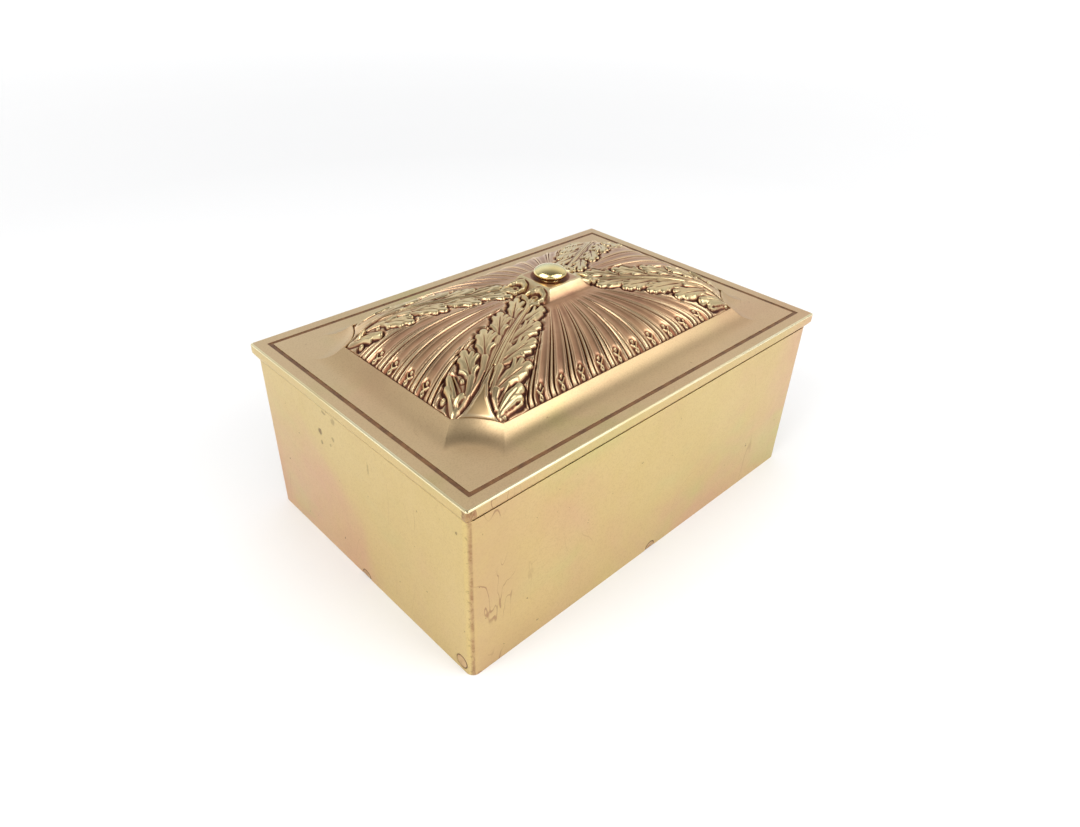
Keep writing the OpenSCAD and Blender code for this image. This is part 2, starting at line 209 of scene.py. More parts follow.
# Across a flute, outwards from its reed: height, place, half width
FLUTE_RIDGES = [(-0.85, 1.2, 0.42), (0.3, 1.86, 0.3), (-0.22, 2.36, 0.24)]
REED_RISE, REED_HALF, REED_EDGE = 0.55, 0.86, 0.82
CHANNEL_START, CHANNEL_MIDDLE, CHANNEL_DEPTH = 2.55, 4.75, 0.28
# The arms of a bellflower: points as (distance from its middle, distance from the crest), and their radii
BELL_ARMS = [([(1.3, 3.85), (0.7, 3.2), (0, 2.85)], [0.25, 0.25, 0.3]),
             ([(0, 2.85), (0, 2.3)], [0.3, 0.28])]


# ---------------- relief: the field of heights
def crest_distance(x, y):
    """Distance inside the crest of the notched frame, for x and y of the quarter with both positive."""
    sides = [CREST_Y - y, CREST_X - x, np.hypot(x - NOTCH_X, y - NOTCH_Y) - NOTCH_R]
    least = np.minimum(np.minimum(sides[0], sides[1]), sides[2])
    width = np.clip(0.18 * np.maximum(least, 0), 0.05, 3)
    total = sum(np.exp(-(side - least) / width) for side in sides)
    return np.where(least > 0, least - width * np.log(total), least)


def dome(inside):
    """Height of the panel's dome, at that distance inside the crest."""
    start, rise, reach = 4.2, 15, 14
    return start + rise * (1 - np.exp(-np.maximum(inside, 0) / reach))


def long_ratio(dy):
    """How far a flute of the long side's fan has drawn in at dy from the crest, where it is 1."""
    start, ease, draw, bend, least = 2.6, 4, 0.0275, 0.0035, 0.05
    t = ((dy - start) + np.sqrt((dy - start) ** 2 + ease)) / 2
    return np.maximum(1 - draw * t * (1 - bend * t), least)


def short_ratio(dx):
    """The same for the short side's fan, at dx from the crest."""
    draw, pinch, ease, least = 0.0137, 0.033, 4, 0.05
    return np.maximum(1 - draw * dx - pinch * (1 - np.exp(-dx / ease)), least)


def flute_profile(u, ratio, reeds):
    """Height of reeds, grooves and hollow channels across a fan; u is the place along the crest."""
    narrowing = ratio ** 0.35
    p = np.min([np.abs(u - reed) for reed in reeds], axis=0) / narrowing
    reed = REED_RISE * ridge(p, 0, REED_HALF, 2.2)
    ridges = sum(height * ridge(p, place, half) for height, place, half in FLUTE_RIDGES)
    middle = CHANNEL_MIDDLE / narrowing
    channel = -CHANNEL_DEPTH * rounded((p - middle) / (middle - CHANNEL_START), 2, 1)
    channel = channel + 0.14 * ridge(p, 3.2, 0.42)
    return np.where(p < REED_EDGE, reed, ridges + channel * (p > CHANNEL_START))


def bellflower(side, dist):
    """A little trefoil, side from its channel's middle and dist from the crest."""
    across = np.abs(side)
    top = 5.8 - 0.3 * side ** 2
    sunk = -0.7 * smoothstep(top + 0.4, top - 1.6, dist) * smoothstep(2.6, 1.5, across)
    dot = 1.15 * ridge(np.hypot(side, dist - 4.6), 0, 0.58)
    arms = rounded(np.minimum(*(chain(across, dist, line, radii)[0] for line, radii in BELL_ARMS)))
    ring = ridge(np.hypot(side, (dist - 1.75) * 0.85), 0.52, 0.27)
    trefoil = np.maximum(np.maximum(dot, arms), ring)
    return sunk + trefoil, trefoil


def fan_field(along, dist, ratio, reeds, bells):
    """Flutes and bellflowers of one fan, along beside the crest and dist from it."""
    u = along / ratio
    z = flute_profile(u, ratio, reeds) * ratio ** 0.7
    gilt_part = np.zeros(z.shape)
    for place in bells:
        near = (dist < 6.6) * (np.abs(u - place) < 3.2)
        shape, trefoil = bellflower((u - place) * ratio, dist)
        z = z + shape * near
        gilt_part = np.maximum(gilt_part, trefoil * near)
    return z, gilt_part


def leaflet_field(x, y, base, breadth, lift, lobes):
    """One leaflet: height over the sunk ground and the distance outside its outline."""
    main = max(lobes, key=lambda lobe: lobe[2])
    ax, ay = main[0] - base[0], main[1] - base[1]
    reach = math.hypot(ax, ay)
    full = LEAF_RISE * lift

    def spine(*shares):
        return [(base[0] + ax * share, base[1] + ay * share) for share in shares]

    body = np.zeros(x.shape)
    gap = np.full(x.shape, FAR)
    if breadth > 0:
        wide = breadth * min(3.1, 0.2 * reach)
        rho, gap, t = chain(x, y, spine(0, 0.28, 0.55, 0.8), [0.5, wide * 0.7, wide, wide * 0.86])
        body = full * (0.4 + 0.5 * smoothstep(0, 0.8, t)) * rounded(rho, 3.6, 0.6)
    veins = np.zeros(x.shape)
    for tip_x, tip_y, tip_r, foot_r in lobes:
        share = 0.62 * math.hypot(tip_x - base[0], tip_y - base[1]) / reach
        line = curve(base, spine(share)[0], (tip_x, tip_y))
        n = len(line) - 1
        radii = [foot_r + (tip_r - foot_r) * (i / n) ** 1.3 for i in range(n + 1)]
        rho, lobe_gap, t = chain(x, y, line, radii)
        rise = full * (0.3 + 0.7 * smoothstep(0.1, 0.85, t))
        body = soft_max(body, rise * rounded(rho, 3, 0.55), 0.3 * min(lift, 1.2))
        gap = np.minimum(gap, lobe_gap)
        offset = rho * (foot_r + (tip_r - foot_r) * t ** 1.3)
        vein = rounded(offset / 0.26, 2, 1) * smoothstep(0, 0.15, t) * smoothstep(0.95, 0.7, t)
        veins = np.maximum(veins, vein)
    middle = chain(x, y, spine(0.1, 0.5, 0.85), [0.3, 0.26, 0.12])[0]
    body = body - 0.2 * veins - 0.22 * rounded(middle, 2, 1)
    return np.where(gap < 0, body, 0), gap


def tail_field(x, y, line):
    """A leaflet's tapering foot with a groove on each side, and the distance outside it."""
    rho, gap, t = chain(x, y, line, TAIL_RADII)
    offset = np.abs(rho * (1.5 - 1.15 * t) - 0.35)
    height = LEAF_RISE * (0.75 - 0.35 * t) * rounded(rho, 2.6, 0.6) - 0.16 * rounded(offset / 0.2, 2, 1)
    return np.where(rho < 1, height, 0), gap


def rib_line(offset):
    """A line beside the stem, which draws in to it towards the pedestal."""
    line = []
    for i, ((px, py), (qx, qy)) in enumerate(zip(STEM, STEM[1:]), 1):
        length = math.hypot(qx - px, qy - py)
        away = offset * (1 - 0.09 * i)
        line.append((qx + (qy - py) / length * away, qy - (qx - px) / length * away))
    return line


def leaf_fields(x, y):
    """The spray of one quarter: height over the sunk ground, and the distance to the nearest leaf."""
    top = np.zeros(x.shape)
    gap = np.full(x.shape, FAR)
    shapes = [leaflet_field(x, y, *leaflet) for leaflet in LEAFLETS]
    shapes += [tail_field(x, y, line) for line in TAILS]
    for eye_x, eye_y, radius in EYES:
        away = np.hypot(x - eye_x, y - eye_y)
        shapes.append((EYE_RISE * ridge(away, radius * 0.62, radius * 0.5), away - radius))
    for height, outside in shapes:
        top = np.maximum(top, height)
        gap = np.minimum(gap, outside)
    cup = CUP_DEPTH * np.exp(-(np.hypot(x - CUP_X, y - CUP_Y) / CUP_R) ** 2)
    top = np.where(top > 0, np.maximum(top - cup, 0.4), 0)
    rho, outside, t = chain(x, y, CURL, CURL_RADII)
    scroll = CURL_RISE * (1 - 0.5 * np.abs(2 * t - 1)) * rounded(rho, 2.4)
    top = soft_max(top, np.where(rho < 1, scroll, 0), 0.3) * ((top > 0) | (rho < 1))
    gap = np.minimum(gap, outside)
    for offset, radius, height in STEM_RIBS:
        line = rib_line(offset)
        rho, outside, _ = chain(x, y, line, [radius * (1 - 0.06 * i) for i in range(len(line))])
        top = np.maximum(top, height * rounded(rho))
        gap = np.minimum(gap, outside)
    return top, gap


def gusset_field(x, y):
    """The plain triangle at the notch: how far inside its two hollow sides a point lies."""
    return np.minimum(np.minimum(-side_of(x, y, GUSSET_UP), side_of(x, y, GUSSET_DOWN)), x - GUSSET_END)


def add_pedestal(z, x, y):
    """The panel's heights with the square pedestal and its dish over them."""
    out = np.maximum(x, y)
    share = np.clip((out - PEDESTAL_HALF) / (FOOT_HALF - PEDESTAL_HALF), 0, 1)
    stand = FOOT_H + (PEDESTAL_H - FOOT_H) * (1 - share) ** 1.9
    whole = np.where(out < FOOT_HALF, soft_max(z, stand, 0.4), z)
    whole = np.where(out <= PEDESTAL_HALF, PEDESTAL_H, np.maximum(whole, np.minimum(z, 22)))
    radius = np.hypot(x, y)
    return np.where(radius < DISH_R, PEDESTAL_H - SEAT_D * smoothstep(DISH_R, SEAT_R, radius), whole)


def relief_fields(x, y):
    """The struck panel, where x and y are positive: z is its height above the lid's border, inside the
    distance from the crest, and the rest are shares that its colours come from."""
    inside = crest_distance(x, y)
    dx, dy = CREST_X - x, CREST_Y - y
    long_fan, long_gilt = fan_field(x, dy, long_ratio(dy), LONG_REEDS, LONG_BELLS)
    short_fan, short_gilt = fan_field(y, dx, short_ratio(dx), SHORT_REEDS, SHORT_BELLS)
    split = y - (STEM_SLOPE * x - STEM_SHIFT)      # positive on the long side of the stem
    fans = np.where(split > 0, long_fan * smoothstep(11.6, 16, y), short_fan * smoothstep(12.5, 20, x))

    leaf, gap = leaf_fields(x, y)
    gusset = gusset_field(x, y)
    gap = np.minimum(gap, -gusset)
    bed = smoothstep(5.5, 3.2, np.abs(split) / 1.15) * smoothstep(14, 18, x)
    ground = fans * (1 - bed) - GROUND_DROP * np.maximum(smoothstep(1.7, 0, gap), bed)
    relief = np.where(leaf > 0, np.maximum(ground, leaf - GROUND_DROP), ground)
    plate = (GROUND_DROP + 0.15) * smoothstep(0, 0.55, gusset) + 0.28 * ridge(gusset, 0.75, 0.5)
    relief = np.where(gusset > 0, np.maximum(plate, 0) - GROUND_DROP, relief)
    # the sunk line just inside the crest
    relief = relief * smoothstep(0.25, 0.9, inside) - 0.75 * smoothstep(0.75, 0.35, inside)

    out = np.maximum(x, y)
    leaf_gilt_and_highlight = smoothstep(0.5, -0.2, gap) * (0.3 + 0.7 * smoothstep(0.35, 1.15, leaf))
    leaf_gilt_and_highlight = leaf_gilt_and_highlight * (out > PEDESTAL_HALF) * smoothstep(0.6, 0, gusset)
    leaf_gilt_and_highlight = np.maximum(leaf_gilt_and_highlight, np.where(split > 0, long_gilt, short_gilt) * (gap > 0.5))
    # leaves by the notch are painted bright: a painted highlight on their tops
    edge = np.minimum(72 - x, 43 - y)
    notch_leaf_highlight = smoothstep(14, 9, np.hypot(x - 61, y - 33)) * smoothstep(6, 3, edge)
    leaf_gilt_and_highlight = leaf_gilt_and_highlight + notch_leaf_highlight * smoothstep(0.7, 1.3, leaf) * (gap < 0) * (gusset < -0.3)
    plain = smoothstep(FOOT_HALF + 0.4, FOOT_HALF - 0.8, out) * (1 - leaf_gilt_and_highlight)
    # and the pedestal's edge gets a painted highlight too
    beyond = out - PEDESTAL_HALF
    leaf_gilt_and_highlight = np.maximum(leaf_gilt_and_highlight, 1.5 * smoothstep(2.4, 0.2, beyond) * smoothstep(-1.2, -0.3, beyond))
    return {
        "z": add_pedestal(dome(inside) + relief, x, y), "inside": inside, "leaf_gilt_and_highlight": leaf_gilt_and_highlight, "plain": plain,
        "gusset": smoothstep(0.3, 0.9, gusset),
        # darker brown in the dish round the knob's foot, coloured like the hollows
        "under_knob_brown": 0.42 * smoothstep(DISH_R + 0.3, DISH_R - 0.6, np.hypot(x, y)),
    }


# ---------------- making meshes and pieces
def new_mesh(name, verts, faces):
    mesh = bpy.data.meshes.new(name)
    mesh.from_pydata([tuple(v) for v in verts], [], faces)
    mesh.update()
    return mesh


def taken_from(bm, name):
    """A new mesh of what an editing mesh holds."""
    mesh = bpy.data.meshes.new(name)
    bm.to_mesh(mesh)
    bm.free()
    return mesh


def smooth(mesh, sharp_angle=None):
    """Smooth shading, except over edges sharper than that angle in degrees."""
    mesh.polygons.foreach_set("use_smooth", [True] * len(mesh.polygons))
    if sharp_angle:
        mesh.set_sharp_from_angle(angle=math.radians(sharp_angle))


def link(name, data):
    """A new object in the scene."""
    obj = bpy.data.objects.new(name, data)
    bpy.context.scene.collection.objects.link(obj)
    return obj


def add_piece(name, mesh, body, material, slot, *replaced):
    obj = link(name, mesh)
    mesh.materials.clear()
    mesh.materials.append(material)
    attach(obj, body)
    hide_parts(*replaced)
    return obj


def apply_modifiers(obj):
    """Makes what the modifiers give the object's own mesh."""
    bpy.context.view_layer.update()
    graph = bpy.context.evaluated_depsgraph_get()
    shown = obj.evaluated_get(graph)
    mesh = bpy.data.meshes.new_from_object(shown, preserve_all_data_layers=True, depsgraph=graph)
    obj.modifiers.clear()
    obj.data = mesh


def even_normals(obj):
    """Flat faces stay flat up to their rounded arrises."""
    weighted = obj.modifiers.new("weighted", "WEIGHTED_NORMAL")
    weighted.keep_sharp = True
    weighted.weight = 100
    apply_modifiers(obj)


def triangulated(points, edges, faces, mode):
    """Faces over flat points that keep those edges. Mode 0 fills all, 1 only inside the faces given."""
    return delaunay_2d_cdt([Vector(p) for p in points], edges, faces, mode, 1e-6)[2]


def closed(indices):
    """The edges round a ring of indices."""
    return list(zip(indices, indices[1:] + indices[:1]))


# ---------------- relief: the mesh
GRID_STEP = 0.1
UNDERSIDE_DROP, UNDERSIDE_TOP, UNDERSIDE_STEP = 2.6, 14, 3
HOLLOWS = ((2.2, 0.22), (7, 0.7))      # a blur in cells, and how far below it counts as deep


def grid_lines(limit, step):
    """Grid coordinates from 0 to limit, with a line exactly at the pedestal's edge."""
    n = 2 * round(PEDESTAL_HALF / step / 2)
    m = 2 * round((limit - PEDESTAL_HALF) / step / 2)
    return np.concatenate([np.linspace(0, PEDESTAL_HALF, n + 1), PEDESTAL_HALF + step * np.arange(1, m + 1)])


def relief_surface():
    """Points x and y of a quarter's grid, the fields there and the upward normals."""
    xs, ys = grid_lines(CREST_X, GRID_STEP), grid_lines(CREST_Y, GRID_STEP)
    fields = relief_fields(*np.meshgrid(xs, ys))
    fields["z"] = blur(fields["z"], 1.3)
    xs, ys = xs[::2], ys[::2]
    fields = {name: field[::2, ::2] for name, field in fields.items()}
    z = fields["z"]
    hollow = sum(np.clip((blur(z, cells) - z) / full, -1, 1) / 2 for cells, full in HOLLOWS)
    fields["hollow"] = hollow * (1 - fields["plain"]) + fields["under_knob_brown"]
    slope_y, slope_x = np.gradient(z, ys, xs)      # none across the mirror lines
    slope_x[:, 0] = 0
    slope_y[0, :] = 0
    normal = np.stack([-slope_x, -slope_y, np.ones(z.shape)], -1)
    normal /= np.linalg.norm(normal, axis=-1, keepdims=True)
    return *np.meshgrid(xs, ys), fields, normal


def kept_quads(keep):
    """The grid points that belong to a cell with all four corners kept, and those cells as quads of them."""
    rows, cols = np.nonzero(keep[:-1, :-1] & keep[1:, :-1] & keep[:-1, 1:] & keep[1:, 1:])
    corners = [(rows + down, cols + along) for down, along in ((0, 0), (0, 1), (1, 1), (1, 0))]
    used = np.zeros(keep.shape, bool)
    for corner in corners:
        used[corner] = True
    index = np.full(keep.shape, -1)
    index[used] = np.arange(used.sum())
    return used, np.stack([index[corner] for corner in corners], 1)


def outline(quads):
    """Indices round the edge of a patch of quads, in order."""
    sides = np.concatenate([quads[:, [i, (i + 1) % 4]] for i in range(4)])
    edges = dict.fromkeys((p, q) for p, q in sides)
    following = {p: q for p, q in edges if (q, p) not in edges}
    start = next(iter(following))
    loop = [start]
    while following[loop[-1]] != start:
        loop.append(following[loop[-1]])
    return loop


def underside(rim):
    """The panel's inner side: points of the rim, then a coarse grid under the dome, and the faces."""
    clear = UNDERSIDE_STEP / 2
    coarse = [(u, v) for u in np.arange(clear, CREST_X, UNDERSIDE_STEP)
              for v in np.arange(clear, CREST_Y, UNDERSIDE_STEP)
              if crest_distance(np.array(u), np.array(v)) > clear]
    flat = rim + coarse
    ring = list(range(len(rim)))
    faces = triangulated(flat, closed(ring), [ring], 1)
    x, y = np.array(flat).T
    height = np.minimum(dome(crest_distance(x, y)) - UNDERSIDE_DROP, UNDERSIDE_TOP)
    return np.stack([x, y, RIM_Z + height], 1), faces


def relief_pieces(material):
    """The struck panel, as four closed quarters that mirror each other."""
    x, y, fields, normal = relief_surface()
    used, quads = kept_quads(fields["inside"] > 0.03)
    top = np.stack([x[used], y[used], RIM_Z + fields["z"][used]], 1)
    loop = outline(quads)
    below, under = underside([tuple(top[i, :2]) for i in loop])
    n, m = len(top), len(loop)
    faces = [tuple(int(i) for i in quad) for quad in quads]
    faces += [tuple(n + i for i in reversed(face)) for face in under]
    faces += [(int(loop[(i + 1) % m]), int(loop[i]), n + i, n + (i + 1) % m) for i in range(m)]
    points = np.concatenate([top, below])
    for number, (sx, sy) in enumerate(((1, 1), (-1, 1), (-1, -1), (1, -1))):
        turned_faces = [face[::-1] for face in faces] if sx * sy < 0 else faces
        mesh = new_mesh(f"relief_{number}", points * [sx * MM, sy * MM, MM], turned_faces)
        for name, value_below in (("hollow", 1), ("leaf_gilt_and_highlight", 0), ("gusset", 0)):
            values = np.concatenate([fields[name][used], np.full(len(below), value_below)])
            attribute = mesh.attributes.new(name, "FLOAT", "POINT")
            attribute.data.foreach_set("value", values.astype(np.float32))
        mesh.polygons.foreach_set("use_smooth", [i < len(quads) for i in range(len(faces))])
        set_relief_normals(mesh, normal[used] * [sx, sy, 1], len(quads))
        add_piece(f"relief_quarter_{number + 1}", mesh, "lid", material, "relief_bronze", "relief_panel")


def set_relief_normals(mesh, normal, quads):
    """Normals of the height field on the first faces, which are quads, and flat ones on the rest."""
    own = np.zeros((len(mesh.loops), 3), np.float32)
    corner = np.zeros(len(mesh.loops), np.int32)
    mesh.loops.foreach_get("vertex_index", corner)
    own[:4 * quads] = normal[corner[:4 * quads]]
    for face in mesh.polygons[quads:]:
        own[face.loop_start:face.loop_start + face.loop_total] = face.normal
    mesh.normals_split_custom_set(own.tolist())


# ---------------- materials
class Nodes:
    """Short hand for the node tree of a material or a world, whose textures are read at coords."""

    def __init__(self, owner, coords="Object"):
        owner.use_nodes = True
        self.owner = owner
        self.tree = owner.node_tree
        self.shader = self.tree.nodes.get("Principled BSDF")
        self.coords = self.node("ShaderNodeTexCoord", coords, {})

    def fill(self, socket, value):
        """Links a socket to a node's output, or sets it to a number, a vector or a colour."""
        if isinstance(value, bpy.types.NodeSocket):
            self.tree.links.new(value, socket)
        elif socket.type == "RGBA":
            socket.default_value = (*value, 1)
        else:
            socket.default_value = value

    def node(self, kind, output, inputs, **settings):
        """Adds a node and returns one of its outputs."""
        node = self.tree.nodes.new(kind)
        for name, value in settings.items():
            setattr(node, name, value)
        for name, value in inputs.items():
            self.fill(node.inputs[name], value)
        return node.outputs[output]

    def surface(self, colour, **values):
        """Sets the shader's base colour and its other inputs, named with _ for a space."""
        self.fill(self.shader.inputs["Base Color"], colour)
        for name, value in values.items():
            self.fill(self.shader.inputs[name.replace("_", " ")], value)

    def noise(self, scale, detail=3, rough=0.55, stretch=(1, 1, 1), distort=0, output="Fac"):
        places = self.vector("MULTIPLY", self.coords, stretch)
        return self.node("ShaderNodeTexNoise", output, {
            "Vector": places, "Scale": scale, "Detail": detail, "Roughness": rough, "Distortion": distort})

    def attribute(self, name):
        return self.node("ShaderNodeAttribute", "Fac", {}, attribute_name=name)

    def span(self, value, low, high, to_low=0, to_high=1, shape="SMOOTHSTEP"):
        """Maps low to high onto to_low to to_high, and keeps what lies outside at those."""
        return self.node("ShaderNodeMapRange", "Result", {
            "Value": value, "From Min": low, "From Max": high, "To Min": to_low, "To Max": to_high,
        }, interpolation_type=shape)

    def clouds(self, noise, low, high, to_low=0, to_high=1):
        """A noise, given by its arguments, spread over that range."""
        return self.span(self.noise(*noise), low, high, to_low, to_high)

    def math(self, operation, a, b=0):
        return self.node("ShaderNodeMath", 0, {0: a, 1: b}, operation=operation)

    def times(self, first, *factors):
        for factor in factors:
            first = self.math("MULTIPLY", first, factor)
        return first

    def vector(self, operation, a, b=(0, 0, 0), output="Vector"):
        return self.node("ShaderNodeVectorMath", output, {0: a, 1: b}, operation=operation)

    def along(self, axis, low, high):
        """From 0 to 1 between two places on an axis, in millimetres."""
        place = self.node("ShaderNodeSeparateXYZ", axis, {0: self.coords})
        return self.span(place, low * MM, high * MM)

    def hairs(self, noise, inner, outer):
        """Thin lines where a noise, given by its arguments, crosses its middle."""
        off = self.math("ABSOLUTE", self.math("SUBTRACT", self.noise(*noise), 0.5))
        return self.span(off, inner, outer, 1, 0)

    def mix(self, share, a, b):
        return self.node("ShaderNodeMix", "Result", {"Factor": share, "A": a, "B": b}, data_type="RGBA")

    def bump(self, height, distance, strength):
        inputs = {"Height": height, "Distance": distance, "Strength": strength}
        self.fill(self.shader.inputs["Normal"], self.node("ShaderNodeBump", "Normal", inputs))


def srgb(*levels):
    """Linear colour from sRGB levels out of 255."""
    shares = [level / 255 for level in levels]
    return tuple(c / 12.92 if c <= 0.04045 else ((c + 0.055) / 1.055) ** 2.4 for c in shares)


GILT = srgb(213, 189, 129)
GILT_PINK = srgb(213, 172, 137)
GILT_GREEN = srgb(204, 190, 128)
GILT_PALE = srgb(228, 207, 160)
PATINA = srgb(146, 96, 70)
PATINA_DEEP = srgb(72, 38, 28)
PIT_BROWN = srgb(112, 84, 40)

# Dents on the left wall: y, z, half width, half height, strength
WALL_DENTS = [(19.6, 56.1, 1.3, 1.5, 1), (15.1, 66, 1.5, 0.7, 0.7), (9.4, 65.2, 1.3, 1.7, 0.5),
              (19.2, 51.5, 0.8, 1, 0.7), (11, 57, 0.9, 1.1, 0.55), (13.2, 53.6, 0.6, 0.8, 0.5),
              (-10, 56.8, 0.5, 3.2, 0.4), (-56, 60.5, 0.6, 0.8, 0.8)]
LEFT_WALL_X = -90.1
SHAKE = 1.4         # the most that a noise moves the dents' outlines, which is twice its average


def wall_dents(n):
    """Dents on the left wall, and the pitting down the near left upright edge."""
    wobble = n.vector("MULTIPLY", n.noise(700, 2, 0.5, output="Color"), [SHAKE * MM] * 3)
    shaken = n.vector("ADD", n.coords, wobble)
    pitting = n.clouds((650, 3, 0.6), 0.56, 0.66)
    marks = n.times(n.along("X", -88.6, -90.6), n.along("Y", -58.5, -61.1), pitting, 0.8)
    for y, z, half_y, half_z, strength in WALL_DENTS:
        offset = n.vector("SUBTRACT", shaken, np.array([LEFT_WALL_X, y + SHAKE / 2, z + SHAKE / 2]) * MM)
        sized = n.vector("DIVIDE", offset, np.array([3, half_y, half_z]) * MM)
        spot = n.span(n.vector("LENGTH", sized, output="Value"), 0.55, 1.1, strength, 0)
        marks = n.math("MAXIMUM", marks, spot)
    return marks


def wall_stains(n, colour):
    """Pink low on the left wall's back half, and the browned, scraped near end of the front wall."""
    blushing = n.times(n.along("Y", 50, 62.5), n.along("Z", 60, 15), n.along("X", -88, -90.2))
    colour = n.mix(n.times(blushing, 0.75), colour, srgb(212, 164, 134))
    front = n.along("Y", -59.8, -60.8)
    near = n.times(n.along("X", -55, -86), front)
    rosy = n.clouds((40, 4, 0.6), 0.3, 0.65, 0.2, 0.6)
    colour = n.mix(n.times(near, rosy), colour, srgb(202, 166, 128))
    strip = n.times(n.along("X", -88.9, -89.4), front, n.clouds((260, 4, 0.7), 0.35, 0.7, 0.25, 0.85))
    colour = n.mix(strip, colour, srgb(150, 108, 78))
    scrapes = n.hairs((120, 2, 0.5, (1, 1, 0.3), 0.5), 0.003, 0.009)
    scraped = n.clouds((48, 3, 0.6), 0.44, 0.54)
    return n.mix(n.times(scrapes, scraped, near, 0.6), colour, PATINA)


def gilt_bronze(name, base, blush, rough=(0.3, 0.42), wall=False):
    """Satin gilt bronze: mottled, scratched, a little pitted. The case's walls have their own marks."""
    n = Nodes(bpy.data.materials.new(name))
    colour = n.mix(n.clouds((9, 4, 0.6, (1, 1, 1), 0.6), 0.42, 0.72), base, blush)
    colour = n.mix(n.clouds((16, 3, 0.6, (1, 1, 1.7)), 0.5, 0.75), colour, GILT_GREEN)
    colour = n.mix(n.clouds((55, 5, 0.65), 0.3, 0.75, 0, 0.22), colour, GILT_PALE)
    colour = n.mix(n.times(n.clouds((1900, 3, 0.6), 0.42, 0.72), 0.16), colour, PATINA)
    pits = n.clouds((420, 2, 0.5), 0.75, 0.785)
    colour = n.mix(n.times(pits, 0.5), colour, PATINA)
    hairs = n.hairs((34, 1, 0.4, (1, 1, 0.35), 0.4), 0.0004, 0.0016)
    colour = n.mix(n.times(hairs, n.clouds((22, 3, 0.6), 0.5, 0.62), 0.3), colour, PATINA)
    if wall:
        pits = n.math("MAXIMUM", pits, wall_dents(n))
        colour = n.mix(n.times(pits, 0.8), wall_stains(n, colour), PIT_BROWN)
    n.surface(colour, Metallic=1, Roughness=n.clouds((28, 6, 0.7), 0.3, 0.7, *rough))
    scratches = n.times(n.noise(160, 3, 0.6, (1, 9, 3)), 0.35)
    n.bump(n.math("SUBTRACT", scratches, pits), 0.00004, 0.4)
    return n.owner


def relief_bronze():
    """Struck relief: gilt leaves, coppery fans, red-brown hollows and cream painted highlights, from the
    attributes of the mesh.
    """
    n = Nodes(bpy.data.materials.new("relief_bronze"))
    leaf_gilt_and_highlight = n.attribute("leaf_gilt_and_highlight")
    cloud = n.noise(60, 4, 0.6)
    depth = n.math("ADD", n.attribute("hollow"), n.times(n.math("SUBTRACT", cloud, 0.5), 0.35))
    leaf = n.mix(n.span(cloud, 0.4, 0.7), srgb(238, 212, 162), srgb(224, 196, 150))
    fan = n.mix(n.clouds((24, 4, 0.6), 0.4, 0.7), srgb(216, 174, 134), srgb(204, 162, 130))
    fan = n.mix(n.clouds((140, 4, 0.7), 0.45, 0.75, 0, 0.45), fan, srgb(170, 120, 98))
    pale = n.mix(leaf_gilt_and_highlight, srgb(234, 206, 164), GILT_PALE)
    colour = n.mix(leaf_gilt_and_highlight, fan, leaf)
    colour = n.mix(n.attribute("gusset"), colour, srgb(226, 192, 142))
    # painted highlight: cream where the leaf share goes over 1, by the notch and on the pedestal's edge
    colour = n.mix(n.span(leaf_gilt_and_highlight, 1.05, 1.8), colour, srgb(252, 240, 196))
    colour = n.mix(n.span(depth, -0.08, -0.5), colour, pale)
    colour = n.mix(n.span(depth, -0.07, 0.36), colour, PATINA)
    colour = n.mix(n.span(depth, 0.32, 0.85), colour, PATINA_DEEP)
    metallic, rough = n.span(depth, 0.1, 1, 1, 0.7), n.span(depth, -0.4, 0.6, 0.34, 0.5)
    n.surface(colour, Metallic=metallic, Roughness=rough)
    n.bump(n.noise(900, 3, 0.6), 0.00004, 0.35)
    return n.owner


def mottled_metal(name, clouds, light, dark, rough, grain, metallic=1):
    """Metal in two shades. clouds is the noise between them and its range, rough the same or one number, and
    grain the scale, detail, depth and strength of a fine bump."""
    n = Nodes(bpy.data.materials.new(name))
    colour = n.mix(n.clouds(*clouds), srgb(*light), srgb(*dark))
    n.surface(colour, Metallic=metallic, Roughness=n.clouds(*rough) if isinstance(rough, tuple) else rough)
    scale, detail, depth, strength = grain
    n.bump(n.noise(scale, detail), depth, strength)
    return n.owner


def polished_brass():
    """The knob and the hidden fixings: brass rubbed bright."""
    return mottled_metal("polished_brass", ((120, 3), 0.35, 0.7), (240, 224, 164), (228, 206, 142),
                         ((260, 4, 0.6), 0.3, 0.7, 0.12, 0.2), (700, 2, 0.00002, 0.25))


def hinge_bronze():
    """The barrels of the hinges, browner than the gilt."""
    return mottled_metal("hinge_bronze", ((150, 4, 0.6), 0.4, 0.7), (206, 172, 116), (160, 116, 78),
                         ((300, 4), 0.3, 0.7, 0.25, 0.45), (800, 3, 0.00004, 0.3))


def pin_bronze():
    """Peened pin heads, redder and duller than the gilt wall."""
    return mottled_metal("pin_bronze", ((300, 4, 0.6), 0.4, 0.7), (208, 178, 132), (184, 144, 106),
                         ((500, 4), 0.3, 0.7, 0.35, 0.5), (900, 3, 0.00005, 0.4))


def arris_painted_highlight():
    """The lid's top arris, painted bright as a highlight."""
    return mottled_metal("arris_painted_highlight", ((14, 3, 0.6), 0.3, 0.6), (240, 222, 172), (255, 246, 208),
                         0.34, (300, 3, 0.00001, 0.3))


def line_patina():
    """The brown filling of the sunk line, and the ring round each pin head."""
    return mottled_metal("line_patina", ((260, 3, 0.6), 0.35, 0.7), (124, 86, 50), (96, 64, 38),
                         0.5, (900, 3, 0.00004, 0.4), metallic=0.2)


